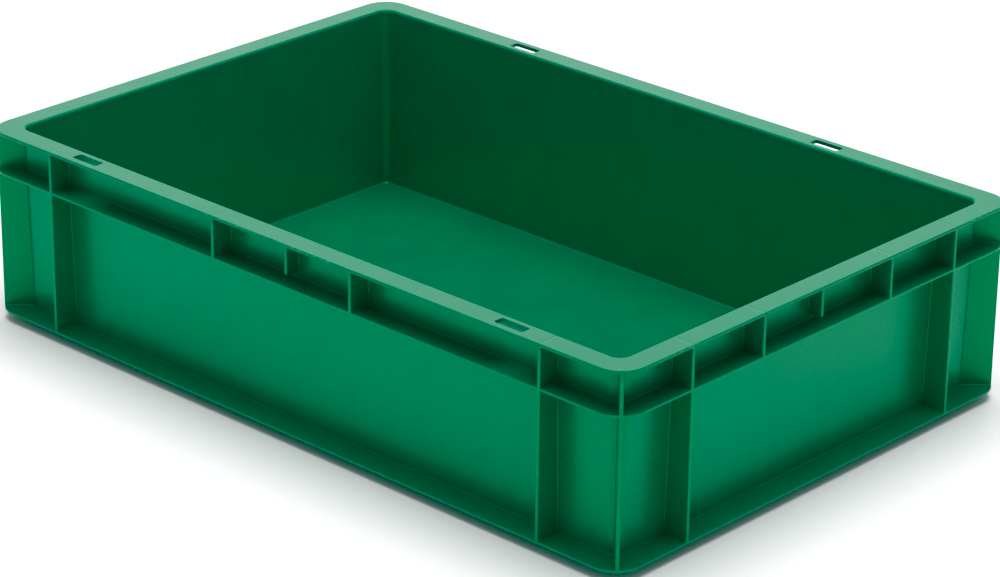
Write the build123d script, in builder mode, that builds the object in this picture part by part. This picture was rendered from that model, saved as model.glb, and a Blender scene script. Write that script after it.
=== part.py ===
"""Stacking plastic crate, 600 x 400 x 145 mm, in millimetres.

The crate is one injection moulding: a drafted tub inside a frame of three thin flanges (rim, belt and
base), tied together by upright ribs. The whole moulding is modelled first, with its root and edge radii,
and is then divided where the thin plates meet into the floor, foot, walls, flanges and ribs.

The origin is at the centre of the footprint, on the plane that the crate stands on. +X runs along the
long side, +Y from the front long side to the back one, and +Z up.
"""

from build123d import *
import os
from math import hypot, sqrt

# Footprint and height
LENGTH = 600
WIDTH = 400
HEIGHT = 145
CORNER_RADIUS = 20

# Tub: drafted walls, a floor, and a foot that drops into the mouth of the crate below
RIM_WIDTH = 18  # footprint edge to inner wall, at the mouth
WALL = 2.2
DRAFT = 1.25  # degrees a side
MOUTH_CORNER_RADIUS = 8
FLOOR_TOP = 3.2
FLOOR_RELIEF = 0.8  # the floor's underside stands this far above the foot
FOOT_HEIGHT = 7  # foot's underside to base flange
FOOT_WIDTH = 13

# Flanges, by the height of each underside
PLATE = 2
RIM_PLATE = 2.5
BELT_HEIGHT = 113

# Ribs, by the place of each centre plane
RIB = 2.5
LONG_SIDE_RIBS = (65, 231)
SHORT_SIDE_RIBS = (65, 134)
SHORT_RIB_SETBACK = 5.5
SHORT_RIB_BOTTOM = 120

# Slots through the rim
SLOT_LENGTH = 24
SLOT_WIDTH = 8
SLOT_INSET = 9
FRONT_SLOT_X = 200
BACK_SLOT_X = 144

# Radii
ROOT_RADIUS = 0.5
EDGE_RADIUS = 0.6
MOUTH_RADIUS = 2
FLOOR_RADIUS = 1.5
FOOT_RADIUS = 1.2
SLOT_RADIUS = 1.5

# Division of the moulding
ROOT = 1.7  # how much of each plate's root, with its radius, stays with the plate it grows from
CORNER_SPAN = 28  # how far each corner piece reaches along both sides
RIM_DEPTH = 5  # how far down the rim pieces reach, past the mouth's radius

RIM_BOTTOM = HEIGHT - RIM_PLATE
BASE_TOP = FOOT_HEIGHT + PLATE
BELT_TOP = BELT_HEIGHT + PLATE
CORNER_X = LENGTH / 2 - CORNER_SPAN
CORNER_Y = WIDTH / 2 - CORNER_SPAN
MARGIN = 10


def drafted_block(inset, radius, bottom=0):
    """A rounded block under the mouth's plane, inset from the footprint there and narrowing downwards."""
    with BuildPart() as block:
        with BuildSketch(Plane((0, 0, HEIGHT), z_dir=(0, 0, -1))):
            RectangleRounded(LENGTH - 2 * inset, WIDTH - 2 * inset, radius)
        extrude(amount=HEIGHT - bottom, taper=DRAFT)
    return block.part


def inside_footprint(vertex):
    return abs(vertex.X) < LENGTH / 2 and abs(vertex.Y) < WIDTH / 2


def is_wall_seam(edge):
    """True for the smooth upright line where a flat wall runs into a rounded corner."""
    middle = edge.position_at(0.5)
    seam_x = LENGTH / 2 - RIM_WIDTH - MOUTH_CORNER_RADIUS
    seam_y = WIDTH / 2 - RIM_WIDTH - MOUTH_CORNER_RADIUS
    upright = abs(edge.tangent_at(0.5).Z) > 0.9
    return upright and (abs(abs(middle.X) - seam_x) < 0.01 or abs(abs(middle.Y) - seam_y) < 0.01)


def outline_gap(point):
    """Distance from the footprint's rounded outline, negative inside it."""
    across = abs(point.X) - (LENGTH / 2 - CORNER_RADIUS)
    along = abs(point.Y) - (WIDTH / 2 - CORNER_RADIUS)
    return hypot(max(across, 0), max(along, 0)) + min(max(across, along), 0) - CORNER_RADIUS


def is_outer_edge(edge):
    """True for an edge that lies on the footprint's outline and isn't a smooth corner seam."""
    on_outline = all(abs(outline_gap(edge.position_at(t))) < 0.01 for t in (0, 0.5, 1))
    middle = edge.position_at(0.5)
    upright = abs(edge.tangent_at(0.5).Z) > 0.9
    at_seam = (
        abs(abs(middle.X) - (LENGTH / 2 - CORNER_RADIUS)) < 0.01
        or abs(abs(middle.Y) - (WIDTH / 2 - CORNER_RADIUS)) < 0.01
    )
    return on_outline and not (upright and at_seam)


def pocket(outline, low, high, wall, ribs=()):
    """The air between two flanges and two ribs, in front of the tub's wall, with rounded roots."""
    with BuildPart() as space:
        with BuildSketch(Plane.XY.offset(low)):
            with BuildLine():
                Polyline(*outline, close=True)
            make_face()
        extrude(amount=high - low)
        add(wall, mode=Mode.SUBTRACT)
        for rib in ribs:
            add(rib, mode=Mode.SUBTRACT)
        roots = space.edges().filter_by(
            lambda edge: any(inside_footprint(v) for v in edge.vertices()) and not is_wall_seam(edge)
        )
        fillet(roots, ROOT_RADIUS)
    return space.part


def side_outline(start, end, half, along_x):
    """Plan of a pocket on one straight side, from one rib face to the next."""
    inner = half - RIM_WIDTH - MOUTH_CORNER_RADIUS
    outer = half + MARGIN
    corners = [(start, inner), (end, inner), (end, outer), (start, outer)]
    return corners if along_x else [(y, x) for x, y in corners]


def corner_outline(reach, along_x):
    """Plan of a pocket between a side's last rib and the corner's diagonal rib, in the +X +Y corner."""
    depth = RIM_WIDTH + MOUTH_CORNER_RADIUS
    slant = RIB / sqrt(2)
    from_corner = [(reach, -MARGIN), (reach, depth), (depth + slant, depth), (slant - MARGIN, -MARGIN)]
    if along_x:
        return [(LENGTH / 2 - u, WIDTH / 2 - v) for u, v in from_corner]
    return [(LENGTH / 2 - v, WIDTH / 2 - u) for u, v in from_corner]


def short_rib(half, along_x):
    """The set-back rib in the middle of a side's upper channel."""
    depth = RIM_WIDTH + MOUTH_CORNER_RADIUS - SHORT_RIB_SETBACK
    centre = half - SHORT_RIB_SETBACK - depth / 2
    height = HEIGHT - SHORT_RIB_BOTTOM
    size = (RIB, depth) if along_x else (depth, RIB)
    place = (0, centre) if along_x else (centre, 0)
    with BuildPart() as rib:
        with Locations((*place, SHORT_RIB_BOTTOM)):
            Box(*size, height, align=(Align.CENTER, Align.CENTER, Align.MIN))
    return rib.part


skin = drafted_block(RIM_WIDTH - WALL, MOUTH_CORNER_RADIUS + WALL)

with BuildPart() as hollow:
    add(drafted_block(RIM_WIDTH, MOUTH_CORNER_RADIUS, FLOOR_TOP))
    fillet(hollow.faces().sort_by(Axis.Z)[0].edges(), FLOOR_RADIUS)

# Pockets of one side of each kind; the opposite side's are their mirror images.
pockets = []
for half, far_half, ribs, along_x in (
    (WIDTH / 2, LENGTH / 2, LONG_SIDE_RIBS, True),
    (LENGTH / 2, WIDTH / 2, SHORT_SIDE_RIBS, False),
):
    inner_rib, outer_rib = ribs
    panel_end = outer_rib - RIB / 2
    middle_end = inner_rib - RIB / 2
    side_ends = (inner_rib + RIB / 2, panel_end)
    corner = corner_outline(far_half - outer_rib - RIB / 2, along_x)
    lower = (BASE_TOP, BELT_HEIGHT)
    upper = (BELT_TOP, RIM_BOTTOM)
    made = [
        pocket(side_outline(-panel_end, panel_end, half, along_x), *lower, skin),
        pocket(
            side_outline(-middle_end, middle_end, half, along_x), *upper, skin, [short_rib(half, along_x)]
        ),
    ]
    mirrored = [
        pocket(side_outline(*side_ends, half, along_x), *upper, skin),
        pocket(corner, *lower, skin),
        pocket(corner, *upper, skin),
    ]
    across = Plane.YZ if along_x else Plane.XZ
    opposite = Plane.XZ if along_x else Plane.YZ
    made += mirrored + [mirror(space, about=across) for space in mirrored]
    pockets += made + [mirror(space, about=opposite) for space in made]

with BuildPart() as moulding:
    with BuildSketch(Plane.XY.offset(FOOT_HEIGHT)):
        RectangleRounded(LENGTH, WIDTH, CORNER_RADIUS)
    extrude(amount=HEIGHT - FOOT_HEIGHT)
    add(skin)
    add(hollow.part, mode=Mode.SUBTRACT)
    for space in pockets:
        add(space, mode=Mode.SUBTRACT)
    fillet(moulding.edges().filter_by(is_outer_edge), EDGE_RADIUS)
    mouth = moulding.edges().filter_by_position(Axis.Z, HEIGHT - 0.01, HEIGHT + 0.01)
    fillet(mouth.filter_by(lambda edge: outline_gap(edge.position_at(0.5)) < -MARGIN), MOUTH_RADIUS)
    foot_edge = moulding.faces().sort_by(Axis.Z)[0].edges()
    fillet(foot_edge, FOOT_RADIUS)
    with BuildSketch():
        relief = 2 * (RIM_WIDTH + FOOT_WIDTH)
        RectangleRounded(LENGTH - relief, WIDTH - relief, MOUTH_CORNER_RADIUS)
    extrude(amount=FLOOR_RELIEF, mode=Mode.SUBTRACT)
    front_y = SLOT_INSET - WIDTH / 2
    slots = [(x, front_y) for x in (-FRONT_SLOT_X, FRONT_SLOT_X)]
    slots += [(x, -front_y) for x in (-BACK_SLOT_X, BACK_SLOT_X)]
    with BuildSketch(Plane.XY.offset(HEIGHT)):
        with Locations(*slots):
            RectangleRounded(SLOT_LENGTH, SLOT_WIDTH, SLOT_RADIUS)
    extrude(amount=-2 * RIM_PLATE, mode=Mode.SUBTRACT)

# The moulding in three shells: the tub with the roots of all that stands on it, the belt, base and ribs
# around the tub, and the rim on top.
rim_cut = HEIGHT - RIM_DEPTH
with BuildPart() as below_rim:
    add(moulding.part)
    split(bisect_by=Plane.XY.offset(rim_cut), keep=Keep.BOTTOM)

tub_zone = drafted_block(RIM_WIDTH - WALL - ROOT, MOUTH_CORNER_RADIUS + WALL + ROOT)

with BuildPart() as tub:
    add(below_rim.part)
    add(tub_zone, mode=Mode.INTERSECT)

with BuildPart() as frame:
    add(below_rim.part)
    add(tub_zone, mode=Mode.SUBTRACT)

with BuildPart() as rim:
    add(moulding.part)
    split(bisect_by=Plane.XY.offset(rim_cut), keep=Keep.TOP)

os.makedirs("parts", exist_ok=True)


def write_piece(name, source, x_range, y_range, *z_ranges):
    """Cut one piece out of a shell with a box for each height range, and write it."""
    with BuildPart() as zone:
        for z_range in z_ranges:
            ranges = (x_range, y_range, z_range)
            with Locations(tuple(sum(ends) / 2 for ends in ranges)):
                Box(*[high - low for low, high in ranges])
    with BuildPart() as piece:
        add(source)
        add(zone.part, mode=Mode.INTERSECT)
    piece.part.label = name
    export_step(piece.part, f"parts/{name}.step")


beyond_x = (CORNER_X, LENGTH / 2 + MARGIN)
beyond_y = (CORNER_Y, WIDTH / 2 + MARGIN)
between_x = (-CORNER_X, CORNER_X)
between_y = (-CORNER_Y, CORNER_Y)


def below_zero(ends):
    return (-ends[1], -ends[0])


SIDES = {
    "front": (between_x, below_zero(beyond_y)),
    "back": (between_x, beyond_y),
    "left": (below_zero(beyond_x), between_y),
    "right": (beyond_x, between_y),
}
CORNERS = {
    "front_left": (below_zero(beyond_x), below_zero(beyond_y)),
    "front_right": (beyond_x, below_zero(beyond_y)),
    "back_left": (below_zero(beyond_x), beyond_y),
    "back_right": (beyond_x, beyond_y),
}

# Heights of the levels that the plates are cut at
foot_cut = BASE_TOP + ROOT
belt_cuts = (BELT_HEIGHT - ROOT, BELT_TOP + ROOT)
below_foot = -MARGIN
above_rim = HEIGHT + MARGIN

write_piece("floor_panel", tub.part, between_x, between_y, (below_foot, foot_cut))

LEVELS = (
    ("foot", "foot_corner", tub.part, (below_foot, foot_cut)),
    ("wall", "corner_wall", tub.part, (foot_cut, rim_cut)),
    ("base_flange", "base_corner", frame.part, (below_foot, foot_cut)),
    ("belt_flange", "belt_corner", frame.part, belt_cuts),
    ("rim_flange", "rim_corner", rim.part, (rim_cut, above_rim)),
)
for side_name, corner_name, shell, heights in LEVELS:
    for side, plan in SIDES.items():
        write_piece(f"{side}_{side_name}", shell, *plan, heights)
    for corner, plan in CORNERS.items():
        write_piece(f"{corner}_{corner_name}", shell, *plan, heights)

panel_heights = (foot_cut, belt_cuts[0])
channel_heights = (belt_cuts[1], rim_cut)
for side, (x_range, y_range) in SIDES.items():
    write_piece(f"{side}_channel_ribs", frame.part, x_range, y_range, channel_heights)
    if side in ("front", "back"):
        write_piece(f"{side}_left_panel_rib", frame.part, (x_range[0], 0), y_range, panel_heights)
        write_piece(f"{side}_right_panel_rib", frame.part, (0, x_range[1]), y_range, panel_heights)
    else:
        write_piece(f"{side}_front_panel_rib", frame.part, x_range, (y_range[0], 0), panel_heights)
        write_piece(f"{side}_back_panel_rib", frame.part, x_range, (0, y_range[1]), panel_heights)
for corner, plan in CORNERS.items():
    write_piece(f"{corner}_corner_rib", frame.part, *plan, panel_heights, channel_heights)
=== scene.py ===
"""A green stacking crate, moulded in one piece, on a pale floor in soft studio light."""
import math

import bmesh
import bpy
from mathutils import Matrix, Vector, noise


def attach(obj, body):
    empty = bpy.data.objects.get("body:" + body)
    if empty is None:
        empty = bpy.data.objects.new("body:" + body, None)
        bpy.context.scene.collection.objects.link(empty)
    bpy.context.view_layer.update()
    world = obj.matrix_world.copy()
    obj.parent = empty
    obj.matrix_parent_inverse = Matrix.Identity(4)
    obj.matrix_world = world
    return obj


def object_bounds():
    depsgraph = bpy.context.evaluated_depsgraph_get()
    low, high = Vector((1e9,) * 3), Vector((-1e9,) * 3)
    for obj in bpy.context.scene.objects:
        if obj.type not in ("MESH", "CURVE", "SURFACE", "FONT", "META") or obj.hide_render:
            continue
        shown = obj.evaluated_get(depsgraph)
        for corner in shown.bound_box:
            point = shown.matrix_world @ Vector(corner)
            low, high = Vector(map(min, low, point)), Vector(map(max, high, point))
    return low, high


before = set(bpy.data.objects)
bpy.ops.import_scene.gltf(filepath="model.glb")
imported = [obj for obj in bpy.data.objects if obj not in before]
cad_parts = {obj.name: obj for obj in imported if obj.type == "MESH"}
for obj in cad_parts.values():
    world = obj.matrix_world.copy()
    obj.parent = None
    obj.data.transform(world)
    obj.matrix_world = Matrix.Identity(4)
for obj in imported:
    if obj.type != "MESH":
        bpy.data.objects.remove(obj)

MM = 0.001

CAD_LOW, CAD_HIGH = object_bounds()
HALF_LENGTH = CAD_HIGH.x
HALF_WIDTH = CAD_HIGH.y
HEIGHT = CAD_HIGH.z


# Camera --------------------------------------------------------------------------------------

VIEW_AZIMUTH = 43.005          # degrees round from the front, towards the right-hand end
VIEW_ELEVATION = 23.251        # degrees above the horizon
VIEW_ROLL = 0.662              # degrees
VIEW_TARGET = Vector((40.3 * MM, -31.1 * MM, HEIGHT / 2))
VIEW_DISTANCE = 2.4968
LENS = 131.25                  # millimetres, on a sensor 36 mm wide


def make_camera():
    camera = bpy.data.objects.new("camera", bpy.data.cameras.new("camera"))
    camera.data.lens = LENS
    camera.data.sensor_width = 36
    camera.data.clip_end = 50
    azimuth, elevation = math.radians(VIEW_AZIMUTH), math.radians(VIEW_ELEVATION)
    back = Vector((
        math.sin(azimuth) * math.cos(elevation),
        -math.cos(azimuth) * math.cos(elevation),
        math.sin(elevation),
    ))
    camera.matrix_world = (
        Matrix.Translation(VIEW_TARGET + back * VIEW_DISTANCE)
        @ Matrix.Rotation(azimuth, 4, "Z")
        @ Matrix.Rotation(math.pi / 2 - elevation, 4, "X")
        @ Matrix.Rotation(math.radians(VIEW_ROLL), 4, "Z")
    )
    bpy.context.scene.collection.objects.link(camera)
    bpy.context.scene.camera = camera


# Light and floor -----------------------------------------------------------------------------

def area_light(name, width, depth, radiance, place, towards):
    """A soft box of even radiance, which the camera doesn't see."""
    lamp = bpy.data.lights.new(name, "AREA")
    lamp.shape = "RECTANGLE"
    lamp.size, lamp.size_y = width, depth
    lamp.energy = radiance * math.pi * width * depth
    light = bpy.data.objects.new(name, lamp)
    light.matrix_world = (
        Matrix.Translation(place)
        @ (Vector(place) - Vector(towards)).to_track_quat("Z", "Y").to_matrix().to_4x4()
    )
    light.visible_camera = False
    bpy.context.scene.collection.objects.link(light)
    return light


def make_lights():
    world = bpy.data.worlds.new("studio")
    world.use_nodes = True
    background = world.node_tree.nodes["Background"]
    background.inputs["Color"].default_value = (1, 1, 1, 1)
    background.inputs["Strength"].default_value = 0.42
    bpy.context.scene.world = world
    area_light("overhead", 1.9, 1.9, 5.4, (0.05, 0.1, 2.2), (0, 0, 0))
    area_light("back_light", 2.2, 1.1, 1.5, (-1.75, 1.85, 1.1), (0, 0, 0.1))


def make_floor():
    mesh = bpy.data.meshes.new("floor")
    side = 12
    mesh.from_pydata(
        [(-side, -side, 0), (side, -side, 0), (side, side, 0), (-side, side, 0)],
        [], [(0, 1, 2, 3)],
    )
    floor = bpy.data.objects.new("floor", mesh)
    bpy.context.scene.collection.objects.link(floor)
    material = bpy.data.materials.new("pale_floor")
    material.use_nodes = True
    shader = material.node_tree.nodes["Principled BSDF"]
    shader.inputs["Base Color"].default_value = (0.86, 0.86, 0.86, 1)
    shader.inputs["Roughness"].default_value = 0.9
    shader.inputs["Specular IOR Level"].default_value = 0.0
    mesh.materials.append(material)


# Materials -----------------------------------------------------------------------------------

GREEN_LIGHT = (0.0, 0.157, 0.066)
DEEP_GREEN = (0.0, 0.142, 0.060)
# lighter green for scuffs, and for the highlight painted along the outer edges
SCUFF_AND_EDGE_HIGHLIGHT_GREEN = (0.02, 0.25, 0.085)

CORNER_RADIUS = 20 * MM
RIM_WIDTH = 18 * MM
LONG_SIDE_RIBS = (65 * MM, 231 * MM)
SHORT_SIDE_RIBS = (65 * MM, 134 * MM)

EDGE_BAND = 1.3 * MM           # how far in from an outer edge the scuffs and the painted edge highlight reach
SINK_WIDTH = 1.6 * MM          # half the width of the sink line over each rib
SINK_DEPTH = 0.09 * MM
GRAIN_SIZE, GRAIN_HEIGHT = 0.9 * MM, 0.004 * MM
PEEL_SIZE, PEEL_HEIGHT = 7 * MM, 0.012 * MM
WAVE_SIZE, WAVE_HEIGHT = 70 * MM, 0.08 * MM
STREAK_WIDTH, STREAK_SQUEEZE = 5 * MM, 0.08   # streaks run upright, so their height is squeezed
CLOUD_SIZE = 45 * MM
PATCH_SIZE = 6 * MM

CLOUD_SHARE = 0.6              # of the colour's variation; the streaks have the rest
RUBBED_SHARE = 0.4             # how strongly rubbed spots show, next to worn edges
ROUGHNESS_SPREAD = 0.02
WORN_ROUGHNESS = 0.04
LEVEL_FACING = (0.5, 0.9)      # upward parts of the normal between which a surface becomes level


class Recipe:
    """Short names for the nodes of one material, all laid out in the crate's own coordinates."""

    def __init__(self, tree):
        self.tree = tree
        coordinates = self.node("ShaderNodeTexCoord")
        self.place = coordinates.outputs["Object"]
        facing = self.node("ShaderNodeSeparateXYZ", {"Vector": coordinates.outputs["Normal"]})
        self.facing_up = facing.outputs["Z"]
        split = self.node("ShaderNodeSeparateXYZ", {"Vector": self.place})
        self.x, self.y = (split.outputs[axis] for axis in "XY")

    def node(self, kind, inputs=None, **settings):
        node = self.tree.nodes.new(kind)
        for key, value in settings.items():
            setattr(node, key, value)
        for key, value in (inputs or {}).items():
            if isinstance(value, bpy.types.NodeSocket):
                self.tree.links.new(value, node.inputs[key])
            else:
                node.inputs[key].default_value = value
        return node

    def maths(self, operation, *values):
        inputs = dict(enumerate(values))
        return self.node("ShaderNodeMath", inputs, operation=operation).outputs[0]

    def ramp(self, value, low, high, to_low=0.0, to_high=1.0):
        """A smooth step from to_low to to_high as value goes from low to high."""
        inputs = {
            "Value": value, "From Min": low, "From Max": high, "To Min": to_low, "To Max": to_high,
        }
        return self.node("ShaderNodeMapRange", inputs, interpolation_type="SMOOTHSTEP").outputs[0]

    def noise(self, size, detail=2.0, stretch=(1, 1, 1)):
        """Soft noise between 0 and 1, with features about size metres across."""
        scaled = self.node(
            "ShaderNodeVectorMath", {0: self.place, 1: stretch}, operation="MULTIPLY"
        )
        inputs = {"Vector": scaled.outputs[0], "Scale": 1 / size, "Detail": detail}
        return self.node("ShaderNodeTexNoise", inputs).outputs[0]

    def mix(self, amount, first, second):
        inputs = {"Factor": amount}
        node = self.node("ShaderNodeMix", inputs, data_type="RGBA")
        for socket, value in ((node.inputs[6], first), (node.inputs[7], second)):
            if isinstance(value, bpy.types.NodeSocket):
                self.tree.links.new(value, socket)
            else:
                socket.default_value = (*value, 1)
        return node.outputs[2]


def outline_mask(recipe):
    """1 at the footprint's outline, where every flange ends, fading to 0 a little way in."""
    straight_x, straight_y = HALF_LENGTH - CORNER_RADIUS, HALF_WIDTH - CORNER_RADIUS
    across = recipe.maths("SUBTRACT", recipe.maths("ABSOLUTE", recipe.x), straight_x)
    along = recipe.maths("SUBTRACT", recipe.maths("ABSOLUTE", recipe.y), straight_y)
    squares = [
        recipe.maths("POWER", recipe.maths("MAXIMUM", value, 0.0), 2.0) for value in (across, along)
    ]
    rounded = recipe.maths("SQRT", recipe.maths("ADD", *squares))
    straight = recipe.maths("MINIMUM", recipe.maths("MAXIMUM", across, along), 0.0)
    gap = recipe.maths("SUBTRACT", recipe.maths("ADD", rounded, straight), CORNER_RADIUS)
    return recipe.ramp(gap, -EDGE_BAND, -EDGE_BAND / 4)


def sink_mask(recipe):
    """1 along the lines on the rim that lie over the upright ribs."""
    masks = []
    for along, across, half, ribs in (
        (recipe.x, recipe.y, HALF_WIDTH, LONG_SIDE_RIBS),
        (recipe.y, recipe.x, HALF_LENGTH, SHORT_SIDE_RIBS),
    ):
        away = [
            recipe.maths("ABSOLUTE", recipe.maths("SUBTRACT", recipe.maths("ABSOLUTE", along), rib))
            for rib in ribs
        ]
        line = recipe.ramp(recipe.maths("MINIMUM", *away), 0.0, SINK_WIDTH, 1.0, 0.0)
        on_rim = recipe.maths("GREATER_THAN", recipe.maths("ABSOLUTE", across), half - RIM_WIDTH)
        masks.append(recipe.maths("MULTIPLY", line, on_rim))
    return recipe.maths("MAXIMUM", *masks)


def make_plastic(name, ior, tint, roughness, scuff_and_highlight_strength, painted_edge_highlight=0.0, sink=False, level_tint=None):
    """Moulded polypropylene: fine grain, slow waves, flow streaks, and scuffs along outer edges,
    laid over a painted highlight band along those edges.

    level_tint is the reflection's tint on surfaces that face up, where it differs from tint.
    """
    material = bpy.data.materials.new(name)
    material.use_nodes = True
    recipe = Recipe(material.node_tree)
    shader = material.node_tree.nodes["Principled BSDF"]
    shader.inputs["IOR"].default_value = ior
    if level_tint:
        level = recipe.ramp(recipe.facing_up, *LEVEL_FACING)
        mixed = recipe.mix(level, tint, level_tint)
        material.node_tree.links.new(mixed, shader.inputs["Specular Tint"])
    else:
        shader.inputs["Specular Tint"].default_value = (*tint, 1)

    grain = recipe.noise(GRAIN_SIZE, 1.0)
    orange_peel = recipe.noise(PEEL_SIZE, 2.0)
    waves = recipe.noise(WAVE_SIZE, 1.0)
    streaks = recipe.noise(STREAK_WIDTH, 2.0, stretch=(1, 1, STREAK_SQUEEZE))
    clouds = recipe.noise(CLOUD_SIZE, 4.0)
    patches = recipe.noise(PATCH_SIZE, 5.0)

    # Scuffs and painted highlight: a lighter band painted along the outer edges as a highlight,
    # with broken wear patches on it, and a few rubbed spots elsewhere
    broken = recipe.ramp(patches, 0.5, 0.68, painted_edge_highlight, 1.0)
    edge = recipe.maths("MULTIPLY", outline_mask(recipe), broken)
    rubbed = recipe.maths(
        "MULTIPLY", recipe.ramp(patches, 0.68, 0.82), recipe.ramp(clouds, 0.56, 0.72)
    )
    rubbed = recipe.maths("MULTIPLY", rubbed, RUBBED_SHARE)
    wear_and_edge_highlight = recipe.maths("MULTIPLY", recipe.maths("MAXIMUM", edge, rubbed), scuff_and_highlight_strength)

    cloudy = recipe.maths("MULTIPLY", clouds, CLOUD_SHARE)
    streaky = recipe.maths("MULTIPLY", streaks, 1 - CLOUD_SHARE)
    tone = recipe.maths("ADD", cloudy, streaky)
    colour = recipe.mix(recipe.ramp(tone, 0.35, 0.65), DEEP_GREEN, GREEN_LIGHT)
    # scuffs and the painted edge highlight lighten the colour here
    colour = recipe.mix(wear_and_edge_highlight, colour, SCUFF_AND_EDGE_HIGHLIGHT_GREEN)
    low, high = roughness - ROUGHNESS_SPREAD, roughness + ROUGHNESS_SPREAD
    rough = recipe.maths(
        "ADD",
        recipe.ramp(clouds, 0.3, 0.7, low, high),
        recipe.ramp(grain, 0.3, 0.7, -ROUGHNESS_SPREAD, ROUGHNESS_SPREAD),
    )
    rough = recipe.maths("ADD", rough, recipe.maths("MULTIPLY", wear_and_edge_highlight, WORN_ROUGHNESS))

    heights = [
        recipe.maths("MULTIPLY", grain, GRAIN_HEIGHT),
        recipe.maths("MULTIPLY", orange_peel, PEEL_HEIGHT),
        recipe.maths("MULTIPLY", waves, WAVE_HEIGHT),
    ]
    if sink:
        heights.append(recipe.maths("MULTIPLY", sink_mask(recipe), -SINK_DEPTH))
    height = heights[0]
    for part in heights[1:]:
        height = recipe.maths("ADD", height, part)
    bump = recipe.node("ShaderNodeBump", {"Height": height, "Distance": 1.0, "Strength": 1.0})
    results = (("Base Color", colour), ("Roughness", rough), ("Normal", bump.outputs[0]))
    for socket, value in results:
        material.node_tree.links.new(value, shader.inputs[socket])
    return material


# Flash line ----------------------------------------------------------------------------------

FLASH_HEIGHT = 0.8 * MM        # below the rim's top, at its parting line
FLASH_STEP = 1.0 * MM
FLASH_THICK = 0.15 * MM
FLASH_PROUD = 0.2 * MM
FLASH_BURIED = 0.3 * MM        # how far its root reaches into the rim
TORN_LENGTH = 60 * MM          # of a stretch of edge that has burrs
TORN_GAIN, TORN_CUT = 8, 1.2   # such stretches are rare: only the noise's peaks pass the cut
BURR_LENGTH = 3.5 * MM
BURR_GAIN, BURR_LIFT = 4, 0.1
BURR_PROUD = 1.0 * MM
BURR_SEED = Vector((0.0, 6.85, 4.11))


def outline_points(step):
    """Points and outward directions along the footprint's rounded outline."""
    points = []
    for turn in range(4):
        angle = turn * math.pi / 2
        sign_x, sign_y = ((1, 1), (-1, 1), (-1, -1), (1, -1))[turn]
        centre = Vector((
            sign_x * (HALF_LENGTH - CORNER_RADIUS), sign_y * (HALF_WIDTH - CORNER_RADIUS), 0
        ))
        arcs = round(CORNER_RADIUS * math.pi / 2 / step)
        for index in range(arcs + 1):
            bend = angle + math.pi / 2 * index / arcs
            outward = Vector((math.cos(bend), math.sin(bend), 0))
            points.append((centre + outward * CORNER_RADIUS, outward))
        length = 2 * (HALF_WIDTH if turn % 2 else HALF_LENGTH) - 2 * CORNER_RADIUS
        runs = round(length / step)
        along = Vector((-outward.y, outward.x, 0))
        for index in range(1, runs):
            reach = along * length * index / runs
            points.append((centre + outward * CORNER_RADIUS + reach, outward))
    return points


def make_flash_line(material):
    """The thin seam of flash round the rim's outer edge, with a few burrs along it."""
    shape = bmesh.new()
    rings = []
    for point, outward in outline_points(FLASH_STEP):
        torn = TORN_GAIN * noise.noise(point / TORN_LENGTH + BURR_SEED) - TORN_CUT
        torn = min(max(torn, 0), 1)
        burr = BURR_GAIN * noise.noise(point / BURR_LENGTH) + BURR_LIFT
        burr = min(max(burr, 0), 1)
        proud = FLASH_PROUD + BURR_PROUD * torn * burr
        thick = FLASH_THICK + proud / 3
        middle = point + Vector((0, 0, HEIGHT - FLASH_HEIGHT))
        rings.append([
            shape.verts.new(middle + outward * reach + Vector((0, 0, rise)))
            for reach, rise in (
                (-FLASH_BURIED, thick), (proud * 0.7, thick * 0.5), (proud, 0),
                (proud * 0.7, -thick * 0.5), (-FLASH_BURIED, -thick),
            )
        ])
    for ring, following in zip(rings, rings[1:] + rings[:1]):
        for index in range(len(ring)):
            after = (index + 1) % len(ring)
            shape.faces.new((ring[index], ring[after], following[after], following[index]))
    bmesh.ops.recalc_face_normals(shape, faces=shape.faces)
    mesh = bpy.data.meshes.new("rim_flash_line")
    shape.to_mesh(mesh)
    shape.free()
    mesh.shade_smooth()
    mesh.materials.append(material)
    flash = bpy.data.objects.new("rim_flash_line", mesh)
    bpy.context.scene.collection.objects.link(flash)
    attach(flash, "root")


make_camera()
make_lights()
make_floor()
wall_plastic = make_plastic(
    "wall_plastic", 2.0, (0.0, 1.0, 0.31), 0.3, scuff_and_highlight_strength=0.45, level_tint=(0.0, 0.36, 0.11)
)
# the rim's outer edges carry an even painted highlight band, with scuffs on it
rim_plastic = make_plastic(
    "rim_plastic", 1.5, (0.2, 0.93, 0.55), 0.35, scuff_and_highlight_strength=0.8, painted_edge_highlight=0.55, sink=True
)
make_flash_line(rim_plastic)
for name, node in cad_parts.items():
    for place in node.material_slots:
        place.material = rim_plastic if "_rim_" in name else wall_plastic

scene = bpy.context.scene
scene.view_settings.view_transform = "Standard"
scene.view_settings.use_curve_mapping = True
scene.view_settings.curve_mapping.black_level[0] = 0.04
